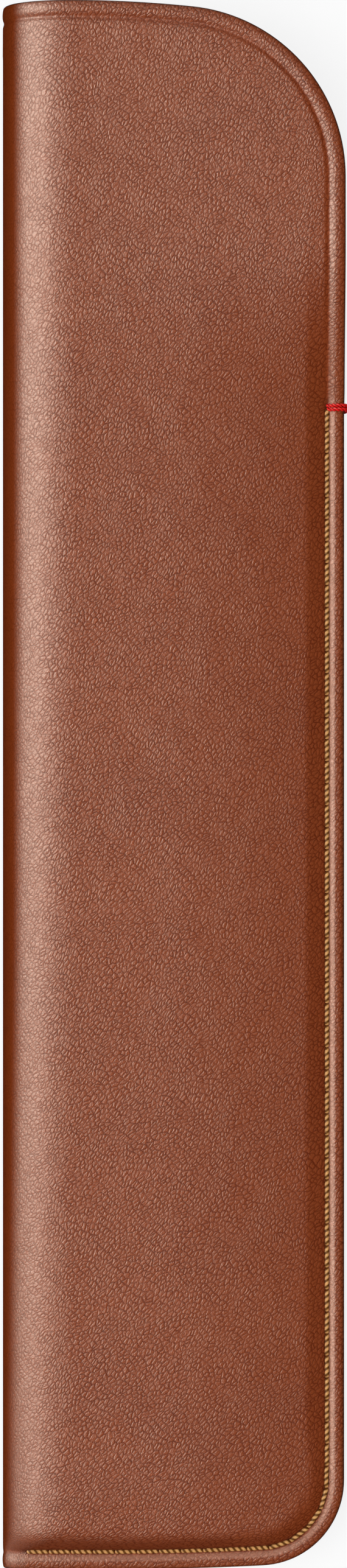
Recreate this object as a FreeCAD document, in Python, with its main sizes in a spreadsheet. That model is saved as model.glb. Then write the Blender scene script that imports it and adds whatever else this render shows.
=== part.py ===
import FreeCAD, Part
import math
import os
import Sketcher

# Single pen sleeve: one strip of leather and one of lining, folded along the left side, sewn along the
# right side and the bottom, open at the top, with a bar tack where the seam ends.
# It is drawn with X from the fold to the sewn edge, Y from the bottom to the mouth and Z from the middle
# plane between the two walls. Placement then lays it on its back, centred on the origin.

# Driving dimensions in millimetres.
DIMENSIONS = {
    # whole sleeve
    "length": 170,
    "width": 37,
    "thickness": 15,
    # layers: in the walls, and pared thinner in the seam
    "leather": 1.2,
    "lining": 1.1,
    "lining_edge": 0.6,
    "seam_gap": 0.2,
    "stiffener": 0.5,
    "stiffener_margin": 1,
    # walls beside the seam
    "seam_inset": 1.85,
    "seam_land": 0.35,
    "side_shoulder": 7.4,
    "base_shoulder": 7,
    "rim_crown": 0.05,
    "lip_sag": 0.9,
    "lip_level": 20,
    # cut outline: corners, and the slight bow that leads into each of them
    "mouth_corner": 18.4,
    "mouth_bow": 135,
    "mouth_bow_start": 7,
    "base_corner": 9.3,
    "base_bow": 317,
    "base_bow_start": 12,
    # seam
    "stitch_pitch": 2.4,
    "thread": 0.5,
    "thread_ease": 0.05,
    "thread_clear": 0.03,
    "seam_end": 2.4,
    # bar tack, and the open side above it
    "slit": 44.1,
    "tack_thread": 0.4,
    "tack_reach": 1.8,
    "tack_spacing": 0.7,
    # bend of the free front corner
    "bend_rise": 1.6,
    "bend_margin": 1,
    "bend_gap": 0.3,
    # how far the cutting shapes run past what they cut
    "overrun": 2,
}
TACK_TURNS = 2

# Stations along the bottom shoulder, as shares of its length counted from the seam.
BASE_STATION_SHARES = (0.8, 0.6, 0.42, 0.26, 0.12, 0)
LEAST_SHOULDER_SHARE = 0.12

# Sizes worked out from the driving ones.
HALF = "dims.thickness / 2"
RIM_HALF = "(dims.seam_gap / 2 + dims.lining_edge + dims.leather)"
SEAM_X = "(dims.width - dims.seam_inset)"
FOOT_INSET = "(dims.seam_inset + dims.seam_land)"
BASE_FULL = f"({FOOT_INSET} + dims.base_shoulder)"
TACK_HEIGHT = "(dims.length - dims.slit)"
FLARE_START = f"({TACK_HEIGHT} + 2 * dims.tack_thread)"
BEND_LOW = f"({TACK_HEIGHT} + dims.bend_rise)"
BEND_TOP = f"({HALF} + dims.bend_margin)"
BEND_STEEPNESS = f"((dims.length - {BEND_LOW}) / (dims.width - {BEND_TOP}))"
SHIFT = {
    "x": "-(dims.width + dims.tack_thread + dims.thread_clear) / 2",
    "y": "-dims.length / 2",
    "z": HALF,
}

doc = FreeCAD.newDocument("pen_sleeve")
dims = doc.addObject("Spreadsheet::Sheet", "dims")
for row, (alias, number) in enumerate(DIMENSIONS.items(), 1):
    dims.set(f"A{row}", alias)
    dims.set(f"B{row}", str(number))
    dims.setAlias(f"B{row}", alias)
doc.recompute()


def size(expression):
    return float(dims.evalExpression(expression))


def vector(x, y, z=0):
    return FreeCAD.Vector(x, y, z)


def origin_plane(body, role):
    return next(plane for plane in body.Origin.OriginFeatures if plane.Role == role)


def new_sketch(body, name, role):
    sketch = body.newObject("Sketcher::SketchObject", name)
    sketch.AttachmentSupport = [(origin_plane(body, role), "")]
    sketch.MapMode = "FlatFace"
    return sketch


def bind(sketch, name, expression, kind, *where):
    index = sketch.addConstraint(Sketcher.Constraint(kind, *where, size(expression)))
    sketch.renameConstraint(index, name)
    sketch.setExpression(f"Constraints.{name}", expression)


def tie(sketch, kind, *where):
    sketch.addConstraint(Sketcher.Constraint(kind, *where))


def place_point(sketch, name, geometry, end, x, y):
    bind(sketch, f"{name}_x", x, "DistanceX", -1, 1, geometry, end)
    bind(sketch, f"{name}_y", y, "DistanceY", -1, 1, geometry, end)


# Envelopes: the outside of the leather, the outside of the lining and the space for the pen

def section(body, name, station, fold, half, shoulder, foot, rim, edge):
    """Cross-section: round fold at the left, flat walls, a round shoulder down to the flat rim."""
    sketch = new_sketch(body, name, "XZ_Plane")
    sketch.setExpression("AttachmentOffset.Base.z", f"-({station})")
    fold_x, half_z, shoulder_x, foot_x, rim_z, edge_x = map(size, (fold, half, shoulder, foot, rim, edge))
    drop = half_z - rim_z
    reach = foot_x - shoulder_x
    radius = (reach ** 2 + drop ** 2) / (2 * drop)
    foot_angle = math.atan2(radius - drop, reach)
    normal = vector(0, 0, 1)
    upper = Part.Circle(vector(shoulder_x, half_z - radius), normal, radius)
    lower = Part.Circle(vector(shoulder_x, radius - half_z), normal, radius)
    turn = Part.Circle(vector(fold_x, 0), normal, half_z)
    sketch.addGeometry([
        Part.LineSegment(vector(fold_x, half_z), vector(shoulder_x, half_z)),
        Part.ArcOfCircle(upper, foot_angle, math.pi / 2),
        Part.LineSegment(vector(foot_x, rim_z), vector(edge_x, rim_z)),
        Part.LineSegment(vector(edge_x, rim_z), vector(edge_x, -rim_z)),
        Part.LineSegment(vector(edge_x, -rim_z), vector(foot_x, -rim_z)),
        Part.ArcOfCircle(lower, -math.pi / 2, -foot_angle),
        Part.LineSegment(vector(shoulder_x, -half_z), vector(fold_x, -half_z)),
        Part.ArcOfCircle(turn, math.pi / 2, 3 * math.pi / 2),
    ])
    tie(sketch, "Tangent", 0, 2, 1, 2)
    tie(sketch, "Coincident", 1, 1, 2, 1)
    tie(sketch, "Coincident", 2, 2, 3, 1)
    tie(sketch, "Coincident", 3, 2, 4, 1)
    tie(sketch, "Coincident", 4, 2, 5, 2)
    tie(sketch, "Tangent", 5, 1, 6, 1)
    tie(sketch, "Tangent", 6, 2, 7, 2)
    tie(sketch, "Coincident", 7, 1, 0, 1)
    tie(sketch, "Symmetric", 0, 1, 6, 2, -1)
    tie(sketch, "Symmetric", 0, 2, 6, 1, -1)
    tie(sketch, "Symmetric", 2, 1, 4, 2, -1)
    tie(sketch, "Symmetric", 2, 2, 4, 1, -1)
    place_point(sketch, "fold", 0, 1, fold, half)
    place_point(sketch, "shoulder", 0, 2, shoulder, half)
    place_point(sketch, "foot", 2, 1, foot, rim)
    place_point(sketch, "edge", 2, 2, edge, rim)
    return sketch


def envelope(name, depth, rim):
    """Solid as large as the sleeve at one depth below the leather's face: depth in the walls, rim half
    thickness in the seam."""
    body = doc.addObject("PartDesign::Body", name)
    half = f"({HALF} - {depth})"
    past = f"(dims.overrun + {depth})"
    edge = f"(dims.width + {past})"
    foot = f"({SEAM_X} - dims.seam_land - {depth})"
    shoulder = f"({SEAM_X} - dims.seam_land - dims.side_shoulder)"
    base_foot = f"({FOOT_INSET} + {depth})"
    corner = f"(dims.base_corner - {base_foot})"

    def wall_section(label, station, rim_there):
        return section(body, label, station, HALF, half, shoulder, foot, rim_there, edge)

    pad = body.newObject("PartDesign::Pad", f"{name}_walls")
    pad.Profile = wall_section(f"{name}_wall_section", BASE_FULL, rim)
    pad.setExpression("Length", f"{FLARE_START} - {BASE_FULL}")
    pad.Reversed = True

    base_sections = []
    for count, station_share in enumerate(BASE_STATION_SHARES):
        rise_share = 1 - (1 - station_share) ** 2
        shoulder_share = max(station_share, LEAST_SHOULDER_SHARE)
        height = f"(({BASE_FULL} - {base_foot}) * {station_share})"
        low_half = f"({rim} + dims.rim_crown)"
        half_there = f"({low_half} + {rise_share} * ({half} - {low_half}))"
        rim_depth = f"({RIM_HALF} - {rim})"
        fold_there = f"({half_there} + {rim_depth} + {rise_share} * ({depth} - {rim_depth}))"
        inward = f"({corner} - sqrt({corner} ^ 2 - ({corner} - min({height}; {corner})) ^ 2))"
        foot_there = f"({foot} - {inward})"
        shoulder_there = f"({foot_there} - {shoulder_share} * ({foot} - {shoulder}))"
        base_sections.append(section(
            body, f"{name}_base_{count}", f"({base_foot} + {height})", fold_there, half_there,
            shoulder_there, foot_there, rim, edge))
    end_section = section(
        body, f"{name}_base_end", f"(-{past})", fold_there, half_there, shoulder_there, foot_there, rim, edge)
    base = body.newObject("PartDesign::AdditiveLoft", f"{name}_base")
    base.Profile = wall_section(f"{name}_base_start", BASE_FULL, rim)
    base.Sections = base_sections + [end_section]
    base.Ruled = True

    mouth_end = f"(dims.length + {past})"
    mouth_open = "(dims.length - dims.lip_level)"
    opened = f"({HALF} - dims.lip_sag - ({RIM_HALF} - {rim}))"
    mouth = body.newObject("PartDesign::AdditiveLoft", f"{name}_mouth")
    mouth.Profile = wall_section(f"{name}_mouth_start", FLARE_START, rim)
    mouth.Sections = [
        wall_section(f"{name}_mouth_open", mouth_open, opened),
        wall_section(f"{name}_mouth_end", mouth_end, opened),
    ]
    mouth.Ruled = True
    return body


leather_outside = envelope("leather_outside", "0", RIM_HALF)
lining_outside = envelope("lining_outside", "dims.leather", f"({RIM_HALF} - dims.leather)")
pocket = envelope("pocket", "(dims.leather + dims.lining)", "(dims.seam_gap / 2)")


# Cut outline of the folded strip, with round corners at the sewn edge

def corner_centre(corner, bow, bow_start):
    """Distance of a corner's centre from the end edge, where the bow runs into the corner."""
    across = size("dims.width") - corner - bow_start
    return bow - math.sqrt((bow - corner) ** 2 - across ** 2)


def outline_body():
    body = doc.addObject("PartDesign::Body", "cut_outline")
    sketch = new_sketch(body, "cut_outline_sketch", "XY_Plane")
    normal = vector(0, 0, 1)
    length, width, past = (size(f"dims.{name}") for name in ("length", "width", "overrun"))
    corners = {}
    for end in ("base", "mouth"):
        corner, bow, start = (size(f"dims.{end}_{name}") for name in ("corner", "bow", "bow_start"))
        centre = corner_centre(corner, bow, start)
        lean = math.asin((width - corner - start) / (bow - corner))
        corners[end] = (corner, bow, start, centre, lean)
    corner, bow, start, centre, lean = corners["base"]
    base_arc = Part.Circle(vector(start, bow), normal, bow)
    base_bow = Part.ArcOfCircle(base_arc, -math.pi / 2, lean - math.pi / 2)
    base_circle = Part.Circle(vector(width - corner, centre), normal, corner)
    base_corner = Part.ArcOfCircle(base_circle, lean - math.pi / 2, 0)
    corner, bow, start, centre, lean = corners["mouth"]
    mouth_circle = Part.Circle(vector(width - corner, length - centre), normal, corner)
    mouth_corner = Part.ArcOfCircle(mouth_circle, 0, math.pi / 2 - lean)
    mouth_arc = Part.Circle(vector(start, length - bow), normal, bow)
    mouth_bow = Part.ArcOfCircle(mouth_arc, math.pi / 2 - lean, math.pi / 2)
    sketch.addGeometry([
        Part.LineSegment(vector(-past, 0), base_bow.StartPoint),
        base_bow,
        base_corner,
        Part.LineSegment(base_corner.EndPoint, mouth_corner.StartPoint),
        mouth_corner,
        mouth_bow,
        Part.LineSegment(mouth_bow.EndPoint, vector(-past, length)),
        Part.LineSegment(vector(-past, length), vector(-past, 0)),
    ])
    tie(sketch, "Tangent", 0, 2, 1, 1)
    tie(sketch, "Tangent", 1, 2, 2, 1)
    tie(sketch, "Tangent", 2, 2, 3, 1)
    tie(sketch, "Tangent", 3, 2, 4, 1)
    tie(sketch, "Tangent", 4, 2, 5, 1)
    tie(sketch, "Tangent", 5, 2, 6, 1)
    tie(sketch, "Coincident", 6, 2, 7, 1)
    tie(sketch, "Coincident", 7, 2, 0, 1)
    tie(sketch, "Horizontal", 0)
    tie(sketch, "Vertical", 3)
    tie(sketch, "Horizontal", 6)
    tie(sketch, "Vertical", 7)
    tie(sketch, "PointOnObject", 0, 1, -1)
    bind(sketch, "base_bow", "dims.base_bow", "Radius", 1)
    bind(sketch, "base_corner", "dims.base_corner", "Radius", 2)
    bind(sketch, "mouth_corner", "dims.mouth_corner", "Radius", 4)
    bind(sketch, "mouth_bow", "dims.mouth_bow", "Radius", 5)
    bind(sketch, "past_fold", "dims.overrun", "DistanceX", 0, 1, -1, 1)
    bind(sketch, "base_bow_start", "dims.base_bow_start", "DistanceX", -1, 1, 0, 2)
    bind(sketch, "width", "dims.width", "DistanceX", -1, 1, 3, 1)
    bind(sketch, "mouth_bow_start", "dims.mouth_bow_start", "DistanceX", -1, 1, 6, 1)
    bind(sketch, "length", "dims.length", "DistanceY", -1, 1, 6, 1)
    pad = body.newObject("PartDesign::Pad", "cut_outline_pad")
    pad.Profile = sketch
    pad.setExpression("Length", "dims.thickness + 2 * dims.overrun")
    pad.Midplane = True
    return body


outline = outline_body()


# Free corner of the front wall: what lies beyond the bend, which runs from the tack up to the mouth

def lip_zone(name, gap):
    body = doc.addObject("PartDesign::Body", name)
    sketch = new_sketch(body, f"{name}_sketch", "XY_Plane")
    sideways = f"({gap} * sqrt(1 + 1 / {BEND_STEEPNESS} ^ 2))"
    outer_x = "(dims.width + dims.overrun)"
    outer_y = "(dims.length + dims.overrun)"
    low_y = f"({BEND_LOW} - (dims.overrun + {sideways}) * {BEND_STEEPNESS})"
    top_x = f"({BEND_TOP} - {sideways} - dims.overrun / {BEND_STEEPNESS})"
    places = ((outer_x, low_y), (outer_x, outer_y), (top_x, outer_y))
    points = [vector(size(x), size(y)) for x, y in places]
    for count, point in enumerate(points):
        sketch.addGeometry(Part.LineSegment(point, points[(count + 1) % len(points)]))
    for count, (x, y) in enumerate(places):
        tie(sketch, "Coincident", count, 2, (count + 1) % len(places), 1)
        place_point(sketch, f"corner_{count}", count, 1, x, y)
    pad = body.newObject("PartDesign::Pad", f"{name}_pad")
    pad.Profile = sketch
    pad.setExpression("Length", "dims.thickness")
    return body


lip = lip_zone("lip", "0")
lip_and_gap = lip_zone("lip_and_gap", "dims.bend_gap")
doc.recompute()


# Seam: stitch holes follow the sewn edge from just below the tack round to the fold

def bent_thread(points, diameter):
    """Round thread along straight runs joined by tangent arcs, bent as tightly as it goes."""
    bend = diameter / 2 + size("dims.thread_ease")
    edges = []
    last = points[0]
    for before, at, after in zip(points, points[1:], points[2:]):
        into = (at - before).normalize()
        out = (after - at).normalize()
        setback = bend * math.tan(into.getAngle(out) / 2)
        start = at - into * setback
        end = at + out * setback
        inward = (out - into).normalize()
        centre = at + inward * math.hypot(bend, setback)
        edges.append(Part.LineSegment(last, start).toShape())
        edges.append(Part.Arc(start, centre - inward * bend, end).toShape())
        last = end
    edges.append(Part.LineSegment(last, points[-1]).toShape())
    first_run = points[1] - points[0]
    ring = Part.Wire([Part.Circle(points[0], first_run, diameter / 2).toShape()])
    return Part.Wire(edges).makePipeShell([ring], True, False)


def seam_places():
    """Holes as points on the seam, evenly spaced."""
    seam_x = size(SEAM_X)
    seam_y = size("dims.seam_inset")
    turn = size("dims.base_corner - dims.seam_inset")
    top = size(f"{TACK_HEIGHT} - dims.tack_thread - dims.tack_spacing - dims.thread")
    side = top - seam_y - turn
    arc = turn * math.pi / 2
    base = seam_x - turn - size("dims.seam_end")
    total = side + arc + base
    count = round(total / size("dims.stitch_pitch"))
    places = []
    for index in range(count + 1):
        along = total * index / count
        if along <= side:
            places.append(vector(seam_x, top - along))
        elif along <= side + arc:
            angle = (along - side) / turn
            centre = vector(seam_x - turn, seam_y + turn)
            places.append(centre + vector(turn * math.cos(angle), -turn * math.sin(angle)))
        else:
            places.append(vector(seam_x - turn - (along - side - arc), seam_y))
    return places


HOLES = seam_places()
THREAD = size("dims.thread")
CLEAR = size("dims.thread_clear")
TACK_THREAD = size("dims.tack_thread")
RIM = size(RIM_HALF)
TACK_X = size("dims.width - dims.tack_reach")
TACK_Y = size(TACK_HEIGHT)


def hole_group():
    """Awl holes through both walls: one per stitch end, and one for the tack."""
    deep = RIM + size("dims.rim_crown + dims.overrun")
    stitch_hole = THREAD + 2 * CLEAR
    tack_hole = TACK_TURNS * (TACK_THREAD + CLEAR) / 2 + CLEAR
    down = vector(0, 0, -deep)
    holes = [Part.makeCylinder(stitch_hole, 2 * deep, place + down) for place in HOLES]
    holes.append(Part.makeCylinder(tack_hole, 2 * deep, vector(TACK_X, TACK_Y) + down))
    return Part.makeCompound(holes)


def stitch_group(side):
    """One stitch from each hole to the next: a run on the face, and legs down to the middle of the seam."""
    rise = RIM + size("dims.rim_crown") + THREAD / 2 + CLEAR
    beside = THREAD / 2 + CLEAR / 2
    stitches = []
    for start, end in zip(HOLES, HOLES[1:]):
        along = (end - start).normalize()
        near = start + along * beside
        far = end - along * beside
        levels = [vector(0, 0, side * height) for height in (CLEAR, rise)]
        points = [near + levels[0], near + levels[1], far + levels[1], far + levels[0]]
        stitches.append(bent_thread(points, THREAD))
    return Part.makeCompound(stitches)


def tack_group():
    """Turns of thread round the edge, each through the awl hole at the top of the seam."""
    rise = RIM + size("dims.rim_crown") + TACK_THREAD / 2 + CLEAR
    outer = size("dims.width") + TACK_THREAD / 2 + CLEAR
    step = TACK_THREAD + CLEAR
    upper = [(TACK_X, CLEAR), (TACK_X, rise), (outer, rise)]
    route = upper + [(x, -z) for x, z in reversed(upper)]
    turns = []
    for turn in range(TACK_TURNS):
        y = TACK_Y + (turn - (TACK_TURNS - 1) / 2) * step
        points = [vector(x, y, z) for x, z in route]
        turns.append(bent_thread(points, TACK_THREAD))
    return Part.makeCompound(turns)


def feature(name, shape):
    made = doc.addObject("Part::Feature", name)
    made.Shape = shape
    return made


stitch_holes = feature("stitch_holes", hole_group())
needle_thread = feature("needle_thread", stitch_group(1))
bobbin_thread = feature("bobbin_thread", stitch_group(-1))
bar_tack = feature("bar_tack", tack_group())


# Stiffeners: flat boards between leather and lining, clear of the round parts of the walls

def stiffener_board(name, z):
    board = doc.addObject("Part::Box", name)
    start_x = f"({HALF} + dims.stiffener_margin)"
    start_y = f"({BASE_FULL} + dims.stiffener_margin)"
    end_x = f"({SEAM_X} - dims.seam_land - dims.side_shoulder - dims.stiffener_margin)"
    board.setExpression("Length", f"{end_x} - {start_x}")
    board.setExpression("Width", f"{FLARE_START} - dims.stiffener_margin - {start_y}")
    board.setExpression("Height", "dims.stiffener")
    board.setExpression("Placement.Base.x", start_x)
    board.setExpression("Placement.Base.y", start_y)
    board.setExpression("Placement.Base.z", z)
    return board


front_board = stiffener_board("front_board", f"{HALF} - dims.leather - dims.stiffener")
back_board = stiffener_board("back_board", f"dims.leather - {HALF}")


# Folded strips: leather and lining, each trimmed to the outline, hollowed, pierced and divided at the bend

def combine(kind, name, base, tool):
    made = doc.addObject(kind, name)
    made.Base = base
    made.Tool = tool
    return made


def strip(name, outside, inside):
    trimmed = combine("Part::Common", f"{name}_trimmed", outside, outline)
    folded = combine("Part::Cut", f"{name}_folded", trimmed, inside)
    return combine("Part::Cut", f"{name}_pierced", folded, stitch_holes)


leather_strip = strip("leather_strip", leather_outside, lining_outside)
lining_strip = strip("lining_strip", lining_outside, pocket)
lining_front_seat = combine("Part::Cut", "lining_front_seat", lining_strip, front_board)
lining_seats = combine("Part::Cut", "lining_seats", lining_front_seat, back_board)
doc.recompute()


def node(name, made):
    made.Label = name
    for axis, expression in SHIFT.items():
        made.setExpression(f"Placement.Base.{axis}", expression)
    return made


def board_node(name, board):
    copy = doc.addObject("Part::Compound", f"{name}_node")
    copy.Links = [board]
    return node(name, copy)


NODES = [
    node("outer_leather", combine("Part::Cut", "sleeve_leather", leather_strip, lip_and_gap)),
    node("front_lip_leather", combine("Part::Common", "lip_leather", leather_strip, lip)),
    node("lining", combine("Part::Cut", "sleeve_lining", lining_seats, lip_and_gap)),
    node("front_lip_lining", combine("Part::Common", "lip_lining", lining_strip, lip)),
    board_node("front_stiffener", front_board),
    board_node("back_stiffener", back_board),
    node("needle_thread", needle_thread),
    node("bobbin_thread", bobbin_thread),
    node("bar_tack", bar_tack),
]
doc.recompute()

for made in doc.Objects:
    if "Invalid" in made.State or "Error" in made.State:
        raise RuntimeError(f"{made.Label} failed: {made.State}")
for made in NODES:
    if made.Shape.isNull() or not made.Shape.isValid():
        raise RuntimeError(f"{made.Label} has no valid shape")

os.makedirs("parts", exist_ok=True)
for made in NODES:
    made.Shape.exportStep(f"parts/{made.Label}.step")
    print(made.Label, len(made.Shape.Solids), "solids", round(made.Shape.Volume, 2), "mm3")
print(len(HOLES) - 1, "stitches on each face")
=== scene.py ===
import math

import bpy
import numpy as np
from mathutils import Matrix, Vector


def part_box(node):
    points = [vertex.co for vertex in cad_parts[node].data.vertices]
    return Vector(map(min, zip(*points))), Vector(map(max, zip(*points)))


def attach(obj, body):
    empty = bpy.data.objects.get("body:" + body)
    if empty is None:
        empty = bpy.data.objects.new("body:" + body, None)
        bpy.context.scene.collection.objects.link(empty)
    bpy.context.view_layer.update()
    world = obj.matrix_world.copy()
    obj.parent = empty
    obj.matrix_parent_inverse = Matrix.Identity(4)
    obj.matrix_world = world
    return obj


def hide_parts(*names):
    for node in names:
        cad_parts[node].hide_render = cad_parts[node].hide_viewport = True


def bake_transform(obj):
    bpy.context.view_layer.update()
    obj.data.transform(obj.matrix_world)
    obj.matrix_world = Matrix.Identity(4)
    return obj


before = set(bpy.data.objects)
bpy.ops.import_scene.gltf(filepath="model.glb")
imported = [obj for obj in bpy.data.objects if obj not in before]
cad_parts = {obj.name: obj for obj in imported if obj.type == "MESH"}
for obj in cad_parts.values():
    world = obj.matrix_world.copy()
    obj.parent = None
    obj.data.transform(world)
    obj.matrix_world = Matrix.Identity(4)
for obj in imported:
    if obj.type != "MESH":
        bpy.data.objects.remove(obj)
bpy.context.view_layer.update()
print("frame loaded:", ", ".join(sorted(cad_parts)))

mm = 0.001


# small tools

def mathNode(operation, turned=False):
    # an operator of Wire; turned is for a plain number on its left
    def apply(self, other):
        return self.math(operation, *((other, self) if turned else (self, other)))
    return apply


class Wire:
    # one output socket, so that shader maths reads as plain expressions
    def __init__(self, tree, socket):
        self.tree = tree
        self.socket = socket

    def math(self, operation, first, second=0.0):
        return addNode(self.tree, "ShaderNodeMath", {"operation": operation}, {0: first, 1: second})

    def __abs__(self):
        return self.math("ABSOLUTE", self)

    __add__, __radd__ = mathNode("ADD"), mathNode("ADD", True)
    __sub__, __rsub__ = mathNode("SUBTRACT"), mathNode("SUBTRACT", True)
    __mul__, __rmul__ = mathNode("MULTIPLY"), mathNode("MULTIPLY", True)
    __truediv__, __rtruediv__ = mathNode("DIVIDE"), mathNode("DIVIDE", True)
    __pow__ = mathNode("POWER")


def addNode(tree, kind, settings=None, sockets=None, out=0):
    made = tree.nodes.new(kind)
    for name, value in (settings or {}).items():
        setattr(made, name, value)
    for name, value in (sockets or {}).items():
        socket = made.inputs[name]
        if isinstance(value, Wire):
            tree.links.new(value.socket, socket)
        else:
            socket.default_value = value
    return Wire(tree, made.outputs[out]) if made.outputs else None


def newMaterial(name):
    material = bpy.data.materials.new(name)
    material.use_nodes = True
    material.node_tree.nodes.clear()
    return material, material.node_tree


def closeMaterial(tree, sockets):
    shader = addNode(tree, "ShaderNodeBsdfPrincipled", {}, sockets)
    addNode(tree, "ShaderNodeOutputMaterial", {}, {"Surface": shader})


def opaque(colour):
    return (*colour, 1.0)


def mixColour(tree, factor, first, second):
    return addNode(tree, "ShaderNodeMix", {"data_type": "RGBA"}, {0: factor, 6: first, 7: second}, 2)


def smoothRange(tree, value, low, high):
    limits = {"Value": value, "From Min": low, "From Max": high}
    return addNode(tree, "ShaderNodeMapRange", {"interpolation_type": "SMOOTHSTEP"}, limits)


def attributeValue(tree, name):
    return addNode(tree, "ShaderNodeAttribute", {"attribute_name": name}, {}, "Fac")


def bumpFrom(tree, height, strength, distance):
    return addNode(tree, "ShaderNodeBump", {}, {"Height": height, "Strength": strength, "Distance": distance})


def sheetNoise(tree, vector, scale, detail, more=None, out="Fac"):
    # noise over a cut sheet laid flat
    sockets = {"Vector": vector, "Scale": scale, "Detail": detail, **(more or {})}
    return addNode(tree, "ShaderNodeTexNoise", {"noise_dimensions": "2D"}, sockets, out)


def cellEdge(tree, vector, scale, randomness):
    # distance to the nearest furrow between cells
    return addNode(tree, "ShaderNodeTexVoronoi", {"voronoi_dimensions": "2D", "feature": "DISTANCE_TO_EDGE"},
                   {"Vector": vector, "Scale": scale, "Randomness": randomness}, "Distance")


def between(pair, share):
    return pair[0] + (pair[1] - pair[0]) * share


def smooth(low, high, value):
    t = np.clip((value - low) / (high - low), 0.0, 1.0)
    return t * t * (3.0 - 2.0 * t)


def roundOver(distance, radius):
    # 0 inside, 1 at the edge itself, as a quarter round
    t = np.clip((radius - distance) / radius, 0.0, 1.0)
    return 1.0 - np.sqrt(np.maximum(0.0, 1.0 - t * t))


def meshObject(name, points, faces, material, uv=None, values=None):
    mesh = bpy.data.meshes.new(name)
    mesh.from_pydata([tuple(p) for p in points], [], faces)
    mesh.polygons.foreach_set("use_smooth", [True] * len(mesh.polygons))
    if uv is not None:
        layer = mesh.uv_layers.new(name="flat")
        corners = np.empty(len(mesh.loops), dtype=np.int32)
        mesh.loops.foreach_get("vertex_index", corners)
        layer.data.foreach_set("uv", np.asarray(uv)[corners].ravel())
    for label, numbers in (values or {}).items():
        layer = mesh.attributes.new(label, "FLOAT", "POINT")
        layer.data.foreach_set("value", np.asarray(numbers, float))
    mesh.update()
    piece = bpy.data.objects.new(name, mesh)
    bpy.context.scene.collection.objects.link(piece)
    mesh.materials.append(material)
    return piece


# form of the sleeve, in mm: x from the fold to the sewn edge, y from the bottom to the mouth,
# z from the middle plane; shift takes it to its place in the frame
sleeveForm = {
    "length": 170.0, "width": 37.17, "halfDepth": 7.5, "rimHalf": 1.9,
    "footInset": 2.2, "footSlide": 0.9,       # edge to where a wall starts to rise, more for a deeper layer
    # steep part of the rise as mm beyond the foot and slope, along the bottom and up the front's sewn edge
    "steepBase": ((0.0, 1.6), (0.9, 1.6), (1.5, 0.58), (2.3, 0.09), (2.8, 0.0)),
    "steepSide": ((0.0, 0.73), (1.6, 0.73), (2.2, 0.3), (2.201, 0.0)),
    "steepTurn": (5.0, 18.0),                 # heights between which the first gives way to the second
    "steepSamples": 400,
    "sideEase": (2.2, 16.0, 0.68, 0.16),      # start, reach, share of the rise (front, back)
    "sidePower": 2.3,
    "sideSlope": 0.56, "slopePower": 1.25,    # part of the front's share that falls evenly from the fold
    "baseEase": (7.0, 0.11),                  # reach, share of the rise
    "endRound": (1.25, 2.0, 14.0),            # how much wider the closed end rounds near the fold, and where
    "frontThin": 0.75, "thinReach": (-20.0, 150.0),      # the front is lower towards the closed end
    "frontRim": 0.65,                         # and its rim fuller than the back's
    "closedEnd": (20.0, 0.6),                 # height of the closed end, part of its rise taken up in the strip
    "baseCorner": 9.3, "baseBow": 317.0, "baseBowStart": 12.0,
    "mouthCorner": 18.4, "mouthBow": 135.0, "mouthBowStart": 7.0,
    "tackHeight": 125.9, "seamEnd": (-1.0, 2.5), "openStart": 0.6, "openHeight": 144.0, "lipSag": 0.5,
    "shift": (-18.8, -85.0, 7.5),
}
form = sleeveForm
length, width, halfDepth, rimHalf = (form[k] for k in ("length", "width", "halfDepth", "rimHalf"))
shift = np.array(form["shift"])
foldFlat = math.pi * halfDepth / 2         # half of the strip's width that goes round the fold


def toFrame(points):
    return (np.asarray(points, float) + shift) * mm


def sewnShare(y):
    start, end = form["seamEnd"]
    return 1.0 - smooth(form["tackHeight"] + start, form["tackHeight"] + end, y)


def openShare(y):
    return smooth(form["tackHeight"] + form["openStart"], form["openHeight"], y)


def rimHeight(y, front=True):
    low = rimHalf + (form["frontRim"] if front else 0.0)
    return low + (halfDepth - form["lipSag"] - low) * openShare(y)


def edgeDistance(x, y):
    # inwards from the bottom and the sewn edge, round their corner
    corner, foot = form["baseCorner"], form["footInset"]
    low = y - np.maximum(x - form["baseBowStart"], 0.0) ** 2 / (2 * form["baseBow"])
    wider, near, far = form["endRound"]
    low = foot + (low - foot) / (1.0 + (wider - 1.0) * (1.0 - smooth(near, far, x)))
    across, down = x - (width - corner), corner - low
    turn = corner - np.hypot(np.maximum(across, 0.0), np.maximum(down, 0.0))
    return np.where((across > 0.0) & (down > 0.0), turn, np.minimum(width - x, low))


def steepTable(kind):
    # share of the steep drop that is left at a distance beyond the foot
    places, slopes = np.array(form[kind]).T
    fine = np.linspace(0.0, places[-1], form["steepSamples"])
    slope = np.interp(fine, places, slopes)
    left = np.concatenate([np.cumsum(((slope[1:] + slope[:-1]) / 2)[::-1])[::-1], [0.0]])
    return fine, left / left[0]


steepBase, steepSide = steepTable("steepBase"), steepTable("steepSide")


def frontDepth(y, front):
    return halfDepth - (form["frontThin"] * (1.0 - smooth(*form["thinReach"], y)) if front else 0.0)


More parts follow.
